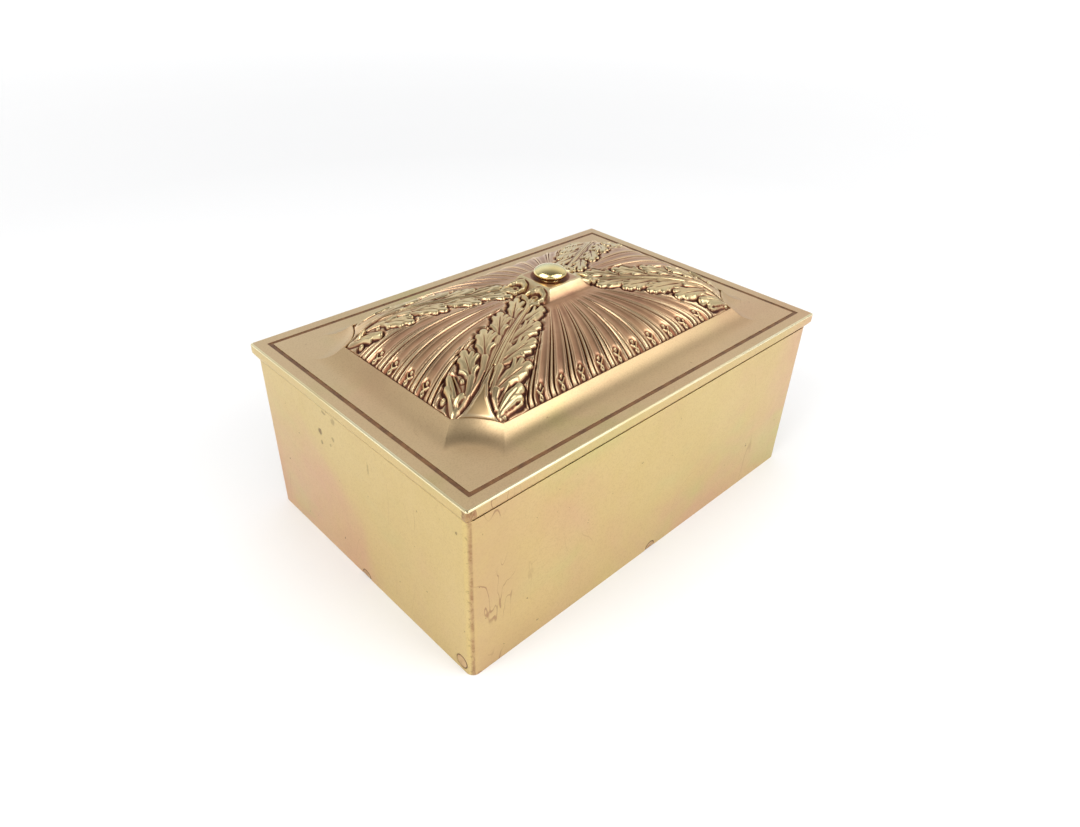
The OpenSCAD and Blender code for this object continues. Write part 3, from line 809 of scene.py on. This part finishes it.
def velvet():
    """Dark wine-red velvet with a short pile."""
    n = Nodes(bpy.data.materials.new("velvet"))
    pile = n.noise(1500, 2, 0.6)
    colour = n.mix(n.clouds((24, 4, 0.6, (1, 1, 1), 1.2), 0.35, 0.68), srgb(100, 15, 31), srgb(87, 12, 27))
    colour = n.mix(n.span(pile, 0.35, 0.7, 0, 0.6), colour, srgb(128, 24, 40))
    n.surface(colour, Roughness=0.92, Specular_IOR_Level=0.2, Sheen_Weight=0.6, Sheen_Roughness=0.35,
              Sheen_Tint=(0.85, 0.35, 0.4))
    n.bump(pile, 0.00025, 0.6)
    return n.owner


# ---------------- lid plate
EDGE_CORNER, INNER_CORNER = 0.8, 0.3
COVE_WIDTH, COVE_RISE = 9, 4.8
LID_WALL = 4.2              # how far the lid's hollow stays inside its edge
PANEL_SEAT = -1.8           # where the relief panel lies in the frame, below the border
# The lid's edge up to its arris, the sunk line and the crest, each as (how far in, height)
EDGE = [(1.2, 0), (1.1, 0.1), (0.08, 1.8), (0, 2), (0, 4.9)]
ARRIS_RADIUS, ARRIS_Z = 0.65, 4.95
SUNK_LINE = [(4.49, 0), (4.55, -0.04), (4.62, -0.2), (4.7, -0.26),
             (6, -0.26), (6.08, -0.2), (6.15, -0.04), (6.21, 0)]
CREST = [(-0.1, 4.72), (0, 4.78), (0.12, 4.78), (0.24, 4.7), (0.34, 4.5), (0.4, 3), (0.4, PANEL_SEAT)]
# The lid frame's materials, in order
FLAT, BROWN, BRIGHT, SIDE = range(4)


def corner_points(inset, steps=24):
    """One corner of the notched outline, inset inside the crest, from the short side to the long side."""
    half_x, half_y, r = CREST_X - inset, CREST_Y - inset, NOTCH_R + inset
    start_y = -math.sqrt(max(r * r - (NOTCH_X - half_x) ** 2, 0))
    end_x = -math.sqrt(max(r * r - (NOTCH_Y - half_y) ** 2, 0))
    start = math.atan2(start_y, half_x - NOTCH_X)
    end = math.atan2(half_y - NOTCH_Y, end_x)
    if end > 0:
        end -= FULL_TURN
    angles = [start + (end - start) * i / steps for i in range(steps + 1)]
    return [(NOTCH_X + r * math.cos(a), NOTCH_Y + r * math.sin(a)) for a in angles]


def four_corners(quarter):
    """A whole outline from its quarter with x and y positive, by mirroring."""
    back = quarter[::-1]
    return quarter + [(-x, y) for x, y in back] + [(-x, -y) for x, y in quarter] + [(x, -y) for x, y in back]


def rectangle(half_x, half_y, radius, steps=6):
    """Outline of a rectangle with round corners."""
    angles = [math.pi / 2 * i / steps for i in range(steps + 1)]
    return four_corners([(half_x - radius + radius * math.cos(a), half_y - radius + radius * math.sin(a))
                         for a in angles])


class Skin:
    """Mesh made of closed rings of points, in millimetres, with a material's number for each face."""

    def __init__(self):
        self.verts, self.faces, self.marks = [], [], []

    def ring(self, outline, z):
        start = len(self.verts)
        self.verts += [(x, y, z) for x, y in outline]
        return list(range(start, len(self.verts)))

    def bands(self, rings, mark=FLAT):
        """Faces from each ring to the next, which has as many points."""
        for low, high in zip(rings, rings[1:]):
            for (a, b), (c, d) in zip(closed(low), closed(high)):
                self.faces.append((a, b, d, c))
                self.marks.append(mark)

    def between(self, outer, inner, up=True):
        """Flat face between an outer ring and an inner ring at the same height."""
        both = outer + inner
        n = len(outer)
        edges = closed(list(range(n))) + closed(list(range(n, len(both))))
        for face in triangulated([self.verts[i][:2] for i in both], edges, [], 0):
            if min(face) >= n:
                continue
            face = tuple(both[i] for i in face)
            a, b, c = (Vector(self.verts[i][:2]) for i in face[:3])
            if ((b - a).cross(c - a) > 0) != up:
                face = face[::-1]
            self.faces.append(face)
            self.marks.append(FLAT)

    def mesh(self, name):
        mesh = new_mesh(name, np.array(self.verts) * MM, self.faces)
        smooth(mesh, 30)
        return mesh


def lower_left_side(skin, points):
    """Brings the lid's lower edge down at its left side, where it shuts closer, and up at the near end."""
    for i in points:
        x, y, z = skin.verts[i]
        lift = 0.25 * float(smoothstep(-59.5, -61.2, y) * smoothstep(-90.7, -90, x))
        drop = 0.2 * float(smoothstep(-87, -90.6, x)) if y > -61 else 0
        skin.verts[i] = (x, y, z + lift - drop)


def lid_skin(half_x, half_y, base):
    """The lid's edge with its chamfer and its arris painted bright as a highlight, then the sunk line, cove,
    crest and inside.
    """
    s = Skin()

    def rim(inset, z, radius=INNER_CORNER):
        return s.ring(rectangle(half_x - inset, half_y - inset, radius), z)

    arris = [(ARRIS_RADIUS * (1 - math.cos(a)), ARRIS_Z + ARRIS_RADIUS * math.sin(a))
             for a in np.linspace(0, math.pi / 2, 8)]
    edge = [rim(inset, base + height, EDGE_CORNER) for inset, height in EDGE + arris]
    lower_left_side(s, edge[0] + edge[1])
    sides = len(EDGE)
    s.bands(edge[:sides + 1])
    # the arris takes the painted highlight
    s.bands(edge[sides:], BRIGHT)
    line = [rim(inset, RIM_Z + height) for inset, height in SUNK_LINE]
    s.bands([edge[-1], line[0], line[1]])
    s.bands(line[1:-1], BROWN)
    s.bands(line[-2:])
    cove = [(-out, COVE_RISE * (1 - out / COVE_WIDTH) ** 2.2) for out in np.linspace(COVE_WIDTH, 0.25, 19)]
    notched = [s.ring(four_corners(corner_points(inset)), RIM_Z + height) for inset, height in cove + CREST]
    s.between(line[-1], notched[0])
    s.bands(notched)
    ceiling = rim(LID_WALL, RIM_Z + PANEL_SEAT)
    s.between(ceiling, notched[-1], up=False)
    s.bands([ceiling, rim(LID_WALL, base), edge[0]])
    return s


def lid_plate_piece(lid_gilt, patina, arris, side):
    lo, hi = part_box("lid_plate")
    half_x, half_y = hi.x / MM, -lo.y / MM
    skin = lid_skin(half_x, half_y, lo.z / MM)
    mesh = skin.mesh("lid_plate_skin")
    obj = add_piece("lid_frame", mesh, "lid", lid_gilt, "gilt_bronze", "lid_plate")
    for material in (patina, arris, side):
        mesh.materials.append(material)
    mesh.polygons.foreach_set("material_index", skin.marks)
    for face in mesh.polygons:
        x, y, _ = face.center / MM
        outside = max(abs(x) - half_x, abs(y) - half_y) > -1.3
        if face.material_index == FLAT and outside and face.normal.z < 0.6:
            face.material_index = SIDE
    scoop_knuckles(obj)
    even_normals(obj)


def scoop_knuckles(obj):
    """Cuts the room for the hinge knuckles out of the lid's back edge."""
    lo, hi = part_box("left_case_knuckles")
    radius, length = 2.15 * MM, hi.x - lo.x + 0.6 * MM
    for sign in (-1, 1):
        bm = bmesh.new()
        bmesh.ops.create_cone(bm, cap_ends=True, segments=48, radius1=radius, radius2=radius, depth=length)
        bmesh.ops.rotate(bm, verts=bm.verts, matrix=Matrix.Rotation(math.pi / 2, 3, "Y"))
        bmesh.ops.translate(bm, verts=bm.verts, vec=(sign * HINGE_X * MM, HINGE_Y * MM, HINGE_Z * MM))
        cutter = link("scoop", taken_from(bm, "scoop"))
        cut = obj.modifiers.new("scoop", "BOOLEAN")
        cut.operation, cut.solver, cut.object = "DIFFERENCE", "EXACT", cutter
        apply_modifiers(obj)
        bpy.data.objects.remove(cutter)


# ---------------- turned and copied pieces
def softened(node, name, width, body, material, slot, ring=None):
    """A copy of a CAD node that stands for it, with its arrises rounded, in the material ring if given."""
    bm = bmesh.new()
    bm.from_mesh(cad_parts[node].data)
    bmesh.ops.remove_doubles(bm, verts=bm.verts, dist=2e-6)
    bmesh.ops.dissolve_limit(bm, angle_limit=math.radians(1), verts=bm.verts, edges=bm.edges)
    sharp = [e for e in bm.edges if len(e.link_faces) == 2 and e.calc_face_angle(0) > math.radians(35)]
    bmesh.ops.bevel(bm, geom=sharp, offset=width * MM, offset_type="OFFSET", segments=2, profile=0.5,
                    affect="EDGES", clamp_overlap=True, material=1 if ring else -1)
    bmesh.ops.recalc_face_normals(bm, faces=bm.faces)
    mesh = taken_from(bm, name)
    smooth(mesh, 40)
    index = np.zeros(len(mesh.polygons), np.int32)
    mesh.polygons.foreach_get("material_index", index)
    obj = add_piece(name, mesh, body, material, slot, node)
    if ring:
        mesh.materials.append(ring)
        mesh.polygons.foreach_set("material_index", index)
    even_normals(obj)


def turned(name, profile, body, material, slot, node, steps=96):
    """Solid of revolution from (radius, height) points that start and end on the upright axis."""
    angles = [FULL_TURN * i / steps for i in range(steps)]
    verts = [(0, 0, profile[0][1])]
    for r, z in profile[1:-1]:
        verts += [(r * math.cos(a), r * math.sin(a), z) for a in angles]
    verts.append((0, 0, profile[-1][1]))
    rings = [closed(list(range(start, start + steps))) for start in range(1, len(verts) - 1, steps)]
    faces = [(0, b, a) for a, b in rings[0]]
    faces += [(a, b, d, c) for low, high in zip(rings, rings[1:]) for (a, b), (c, d) in zip(low, high)]
    faces += [(a, b, len(verts) - 1) for a, b in rings[-1]]
    mesh = new_mesh(name, np.array(verts) * MM, faces)
    smooth(mesh, 35)
    add_piece(name, mesh, body, material, slot, node)


def knob_profile():
    """The stud through the panel, then the button, whose upper side is half an ellipse."""
    stud_z, stud_r = 85.56, 1.5
    foot = [(0, stud_z), (stud_r - 0.2, stud_z), (stud_r, stud_z + 0.24), (stud_r, KNOB_SEAT - 0.4),
            (2.6, KNOB_SEAT - 0.35), (3.2, KNOB_SEAT)]
    start = math.asin((KNOB_SEAT - KNOB_Z) / KNOB_HALF_H) + 0.1
    button = [(KNOB_R * math.cos(a), KNOB_Z + KNOB_HALF_H * math.sin(a))
              for a in np.linspace(start, math.pi / 2, 40)]
    return foot + button[:-1] + [(0, KNOB_Z + KNOB_HALF_H)]


# ---------------- velvet
CELL = 4                  # spacing of the points in the middle of a board or pad
# Closer points towards a board's edges, as their distances from it
EDGE_PLACES, EDGE_BAND = [0, 0.1, 0.35, 0.8, 1.4, 2.2, 3.3, 4.8], 6.5
BOARD_CROWN, BOARD_PULL, BOARD_INSET, BOARD_ROLL = 0.4, 0.15, 0.05, 1.8
PAD_TRAVEL, PAD_ROUNDING = 1.7, 0.7
# How far the floor pad's CAD top stands over the pan's flange, and how far the stuffed one goes past the
# boards' faces and over the CAD top
PAD_OVER_FLANGE, PAD_TUCK, PAD_SWELL = 0.6, 0.2, 1.2
SIM_FRAMES = 20


def spaced(half):
    """Places across a board, closer together at its two edges."""
    inner = half - EDGE_BAND
    middle = np.linspace(-inner, inner, max(2, round(2 * inner / CELL)) + 1)
    return np.concatenate([[-half + e for e in EDGE_PLACES], middle, [half - e for e in EDGE_PLACES[::-1]]])


def grid_faces(rows, cols):
    """Faces of a grid of points, and the indices round its edge."""
    index = np.arange(rows * cols).reshape(rows, cols).tolist()
    quads = [(index[i][j], index[i][j + 1], index[i + 1][j + 1], index[i + 1][j])
             for i in range(rows - 1) for j in range(cols - 1)]
    rim = [row[0] for row in index] + index[-1][1:]
    rim += [row[-1] for row in index[-2::-1]] + index[0][-2:0:-1]
    return quads, rim


def velvet_board(node, name, body, front, cloth):
    """A thin board under velvet: rolled edges, its face crowned, its sides drawn in between the corners.
    front is +1 or -1, the side of the thin axis that shows."""
    lo, hi = (np.array(corner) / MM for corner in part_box(node))
    size, middle = hi - lo, (lo + hi) / 2
    axis = int(np.argmin(size))
    across, along = [a for a in range(3) if a != axis]
    half_u, half_v, thick = size[across] / 2, size[along] / 2, size[axis]
    u, v = np.meshgrid(spaced(half_u), spaced(half_v), indexing="ij")
    edge = np.clip(np.minimum(half_u - np.abs(u), half_v - np.abs(v)), 0, None)
    rolled = rounded(1 - np.clip(edge / BOARD_ROLL, 0, 1))
    swell = 1 - np.exp(-edge / 9)
    wave = 0.05 * np.sin(u * 0.21 + 1.3) * np.sin(v * 0.17) * swell
    face = thick * (0.25 + (0.75 - BOARD_CROWN) * rolled + BOARD_CROWN * swell) + wave
    pinch_u = 1 - BOARD_PULL / half_u * (1 - (v / half_v) ** 2) * (u / half_u) ** 8
    pinch_v = 1 - BOARD_PULL / half_v * (1 - (u / half_u) ** 2) * (v / half_v) ** 8
    points = np.zeros((2, *u.shape, 3))
    points[..., across] = middle[across] + u * pinch_u * (1 - BOARD_INSET / half_u)
    points[..., along] = middle[along] + v * pinch_v * (1 - BOARD_INSET / half_v)
    for layer, height in zip(points, (face, 0)):
        layer[..., axis] = lo[axis] + height if front > 0 else hi[axis] - height
    n = u.size
    quads, rim = grid_faces(*u.shape)
    faces = quads + [tuple(n + i for i in quad[::-1]) for quad in quads]
    faces += [(a, b, n + b, n + a) for a, b in closed(rim)]
    mesh = new_mesh(name, points.reshape(-1, 3) * MM, faces)
    bm = bmesh.new()
    bm.from_mesh(mesh)
    bmesh.ops.recalc_face_normals(bm, faces=bm.faces)
    bm.to_mesh(mesh)
    bm.free()
    smooth(mesh)
    obj = add_piece(name, mesh, body, cloth, "velvet", node)


def slack_box(lo, hi, middle_z):
    """Points and faces of a box with gridded base and top, and one ring of points between them, and how many
    points the base has, which come first."""
    half = (hi - lo)[:2] / 2 - PAD_ROUNDING
    cells = np.round(2 * half / CELL).astype(int)
    u, v = np.meshgrid(*(np.linspace(-1, 1, c + 1) for c in cells), indexing="ij")
    flat = (lo + hi)[:2] / 2 + np.stack([u, v], -1).reshape(-1, 2) * half
    quads, rim = grid_faces(*u.shape)
    n = len(flat)
    verts = [(*p, lo[2]) for p in flat] + [(*p, hi[2] - PAD_ROUNDING) for p in flat]
    verts += [(*flat[i], middle_z) for i in rim]
    faces = quads + [tuple(n + i for i in quad[::-1]) for quad in quads]
    sides = closed(list(range(2 * n, len(verts))))
    for (a, b), (side_a, side_b) in zip(closed(rim), sides):
        faces += [(a, b, side_b, side_a), (side_a, side_b, n + b, n + a)]
    return np.array(verts), faces, n


def blown_up(obj):
    """Where a cloth simulation under pressure takes the object's points, in millimetres."""
    scene = bpy.context.scene
    cloth = obj.modifiers.new("cloth", "CLOTH")
    cloth.settings.quality = 5
    cloth.settings.use_pressure = True
    cloth.settings.uniform_pressure_force = 4
    cloth.settings.effector_weights.gravity = 0
    cloth.point_cache.frame_start, cloth.point_cache.frame_end = 1, SIM_FRAMES
    for number in range(1, SIM_FRAMES + 1):
        scene.frame_set(number)
    places = np.empty(len(obj.data.vertices) * 3, np.float32)
    shown = obj.evaluated_get(bpy.context.evaluated_depsgraph_get())
    shown.data.vertices.foreach_get("co", places)
    obj.modifiers.clear()
    scene.frame_set(1)
    return places.reshape(-1, 3) / MM


def stuffed_pad(node, name, body, cloth):
    """The stuffed floor pad: a flat base inside the pan's flange, and a top, blown up by a simulation, that
    laps over the flange to the boards."""
    low, high = (np.array(corner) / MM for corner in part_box(node))
    flange = high[2] - PAD_OVER_FLANGE
    boards = [-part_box(board)[1][axis] / MM for axis, board in enumerate(("left_lining", "front_lining"))]
    hi = np.array([boards[0] + PAD_TUCK, boards[1] + PAD_TUCK, high[2] + PAD_SWELL])
    lo = np.array([-hi[0], -hi[1], low[2]])
    start, faces, base_points = slack_box(lo, hi, flange + 0.4)
    mesh = new_mesh(name, start * MM, faces)
    smooth(mesh)
    obj = link(name, mesh)
    move = blown_up(obj) - start
    length = np.linalg.norm(move, axis=1, keepdims=True) + 1e-9
    points = start + move * PAD_TRAVEL * np.tanh(length / PAD_TRAVEL) / length
    points[:base_points, :2] = start[:base_points, :2] * (-low[:2] - 0.3) / hi[:2]
    points[:base_points, 2] = lo[2]
    points = np.clip(points, lo, hi)
    mesh.vertices.foreach_set("co", (points * MM).astype(np.float32).ravel())
    mesh.update()
    finer = obj.modifiers.new("finer", "SUBSURF")
    finer.levels = finer.render_levels = 1
    apply_modifiers(obj)
    obj.data.materials.append(cloth)
    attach(obj, body)
    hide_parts(node)


# ---------------- all the pieces
def build():
    gilt = gilt_bronze("gilt_bronze", GILT, GILT_PINK, wall=True)
    lid_gilt = gilt_bronze("lid_gilt", srgb(224, 194, 150), srgb(219, 181, 142), rough=(0.38, 0.46))
    brass, hinge, patina, cloth = polished_brass(), hinge_bronze(), line_patina(), velvet()

    relief_pieces(relief_bronze())
    lid_plate_piece(lid_gilt, patina, arris_painted_highlight(), gilt)
    softened("case_walls", "case_shell", 0.15, "case", gilt, "gilt_bronze")
    softened("base_pan", "base_tray", 0.2, "case", gilt, "gilt_bronze")
    softened("base_pins", "peened_pins", 0.45, "case", pin_bronze(), "gilt_bronze", ring=patina)
    turned("knob_button", knob_profile(), "lid", brass, "polished_brass", "knob")
    for node, width in (("knob_collar", 0.2), ("knob_washer", 0.12), ("knob_nut", 0.25)):
        softened(node, node + "_turned", width, "lid", brass, "polished_brass")
    for side in ("left", "right"):
        softened(f"{side}_case_knuckles", f"{side}_case_barrels", 0.15, "case", hinge, "hinge_bronze")
        softened(f"{side}_lid_knuckles", f"{side}_lid_barrels", 0.15, "lid", hinge, "hinge_bronze")
        softened(f"{side}_hinge_pin", f"{side}_pintle", 0.15, "case", brass, "polished_brass")
    stuffed_pad("floor_pad", "velvet_floor", "case", cloth)
    velvet_board("lid_lining", "velvet_lid", "lid", -1, cloth)
    for side, front in (("front", 1), ("back", -1), ("left", 1), ("right", -1)):
        velvet_board(f"{side}_lining", f"velvet_{side}", "case", front, cloth)
    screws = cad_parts["panel_screws"].data
    screws.materials.clear()
    screws.materials.append(brass)


# ---------------- floor, light and camera
FLOOR_HALF, BACKDROP_R, BACKDROP_DROP = 8000, 7900, 20
WHITE = (1, 1, 1)
UP = (0, 0, 1)
SOFTBOX_DISTANCE = 0.95     # in metres, like the camera's place
# Azimuth, elevation, size in metres and power of each softbox. The glints light only the knob.
SOFTBOXES = {"key": (26, 38, (0.74, 0.44), 3.3), "fill": (-88, 40, (0.5, 0.44), 3)}
GLINTS = {"glint_right": (10, 42, (0.8, 1.1), 7.6), "glint_left": (-100, 42, (0.8, 1.1), 7.6)}
CAMERA_PLACE = (-0.18965, -0.18694, 0.21333)
CAMERA_AZIMUTH, CAMERA_ELEVATION, CAMERA_ROLL = -45.007, 34.161, 2.075
CAMERA_LENS = 25.61


def direction(azimuth, elevation):
    """Unit vector towards a place seen at that azimuth (0 is the front, 90 the right) and elevation."""
    a, e = math.radians(azimuth), math.radians(elevation)
    return Vector((math.sin(a) * math.cos(e), -math.cos(a) * math.cos(e), math.sin(e)))


def lamp(name, kind, power, azimuth, elevation):
    """A light that shines from that direction."""
    obj = link(name, bpy.data.lights.new(name, kind))
    obj.data.energy = power
    obj.rotation_euler = direction(azimuth, elevation).to_track_quat("Z", "Y").to_euler()
    return obj


def softbox(name, azimuth, elevation, size, power):
    obj = lamp(name, "AREA", power, azimuth, elevation)
    obj.location = direction(azimuth, elevation) * SOFTBOX_DISTANCE
    obj.data.shape = "RECTANGLE"
    obj.data.size, obj.data.size_y = size
    return obj


def overhead_light():
    """A broad sun that lights the floor and the cloth, and isn't mirrored in metal."""
    obj = lamp("overhead", "SUN", 1.85, -45, 62)
    obj.data.angle = math.radians(100)
    obj.visible_glossy = False


def studio_world():
    """A pale room: brightest behind the object, greyer overhead, low down and in front."""
    world = bpy.data.worlds.new("studio")
    bpy.context.scene.world = world
    n = Nodes(world, "Generated")

    def towards(way, low, high, to_low=0, to_high=1):
        return n.span(n.vector("DOT_PRODUCT", n.coords, way, "Value"), low, high, to_low, to_high)

    behind = towards(direction(140, 20), 0.15, 0.95, 0.3, 1)
    room = n.times(behind, towards(UP, 0.55, 0.95, 1, 0.35), towards(UP, 0, 0.35, 0.55, 1))
    low_left = n.times(towards(UP, 0, 0.3, 1, 0), towards(direction(238, 0), 0, 0.8, 0.15, 1))
    tint = n.mix(towards(direction(144, 0), 0.7, 1), (1, 0.99, 0.985), (0.78, 0.88, 1))
    background = n.tree.nodes["Background"]
    n.fill(background.inputs["Strength"], n.math("ADD", room, low_left))
    n.fill(background.inputs["Color"], tint)


def floor_piece():
    """A plain pale floor, which glows a little far out so that it fades into the backdrop."""
    h = FLOOR_HALF * MM
    floor = link("floor", new_mesh("floor", [(-h, -h, 0), (h, -h, 0), (h, h, 0), (-h, h, 0)], [(0, 1, 2, 3)]))
    n = Nodes(bpy.data.materials.new("floor_white"))
    glow = n.span(n.vector("LENGTH", n.coords, output="Value"), 0.5, 2.5, 0, 0.55, "LINEAR")
    n.surface((0.9, 0.9, 0.9), Roughness=0.8, Emission_Color=WHITE, Emission_Strength=glow)
    floor.data.materials.append(n.owner)


def backdrop_piece():
    """A white dome that only the camera sees."""
    skin = Skin()
    angles = np.linspace(0, FULL_TURN, 48, endpoint=False)
    rings = []
    for e in np.linspace(0, 1.5, 12):
        radius = BACKDROP_R * math.cos(e)
        circle = [(radius * math.cos(a), radius * math.sin(a)) for a in angles]
        rings.append(skin.ring(circle, BACKDROP_R * math.sin(e) - BACKDROP_DROP))
    skin.bands(rings)
    backdrop = link("backdrop", skin.mesh("backdrop"))
    n = Nodes(bpy.data.materials.new("backdrop_white"))
    n.surface((0, 0, 0), Emission_Color=WHITE, Emission_Strength=1)
    backdrop.data.materials.append(n.owner)
    for ray in ("glossy", "diffuse", "shadow", "transmission"):
        setattr(backdrop, f"visible_{ray}", False)


def add_camera():
    data = bpy.data.cameras.new("camera")
    data.sensor_width = 36
    data.lens = CAMERA_LENS
    data.clip_start, data.clip_end = 0.01, 20
    camera = link("camera", data)
    right = direction(CAMERA_AZIMUTH + 90, 0)
    back = direction(CAMERA_AZIMUTH, CAMERA_ELEVATION)
    up = back.cross(right)
    roll = math.radians(CAMERA_ROLL)
    rolled_right = right * math.cos(roll) + up * math.sin(roll)
    rolled_up = up * math.cos(roll) - right * math.sin(roll)
    basis = Matrix((rolled_right, rolled_up, back)).transposed().to_4x4()
    camera.matrix_world = Matrix.Translation(Vector(CAMERA_PLACE)) @ basis
    bpy.context.scene.camera = camera


def studio():
    floor_piece()
    backdrop_piece()
    studio_world()
    for name, values in SOFTBOXES.items():
        softbox(name, *values)
    knob_only = bpy.data.collections.new("lit_knob")
    knob_only.objects.link(bpy.data.objects["knob_button"])
    for name, values in GLINTS.items():
        softbox(name, *values).light_linking.receiver_collection = knob_only
    overhead_light()
    add_camera()
    bpy.context.scene.view_settings.view_transform = "Standard"


build()
studio()
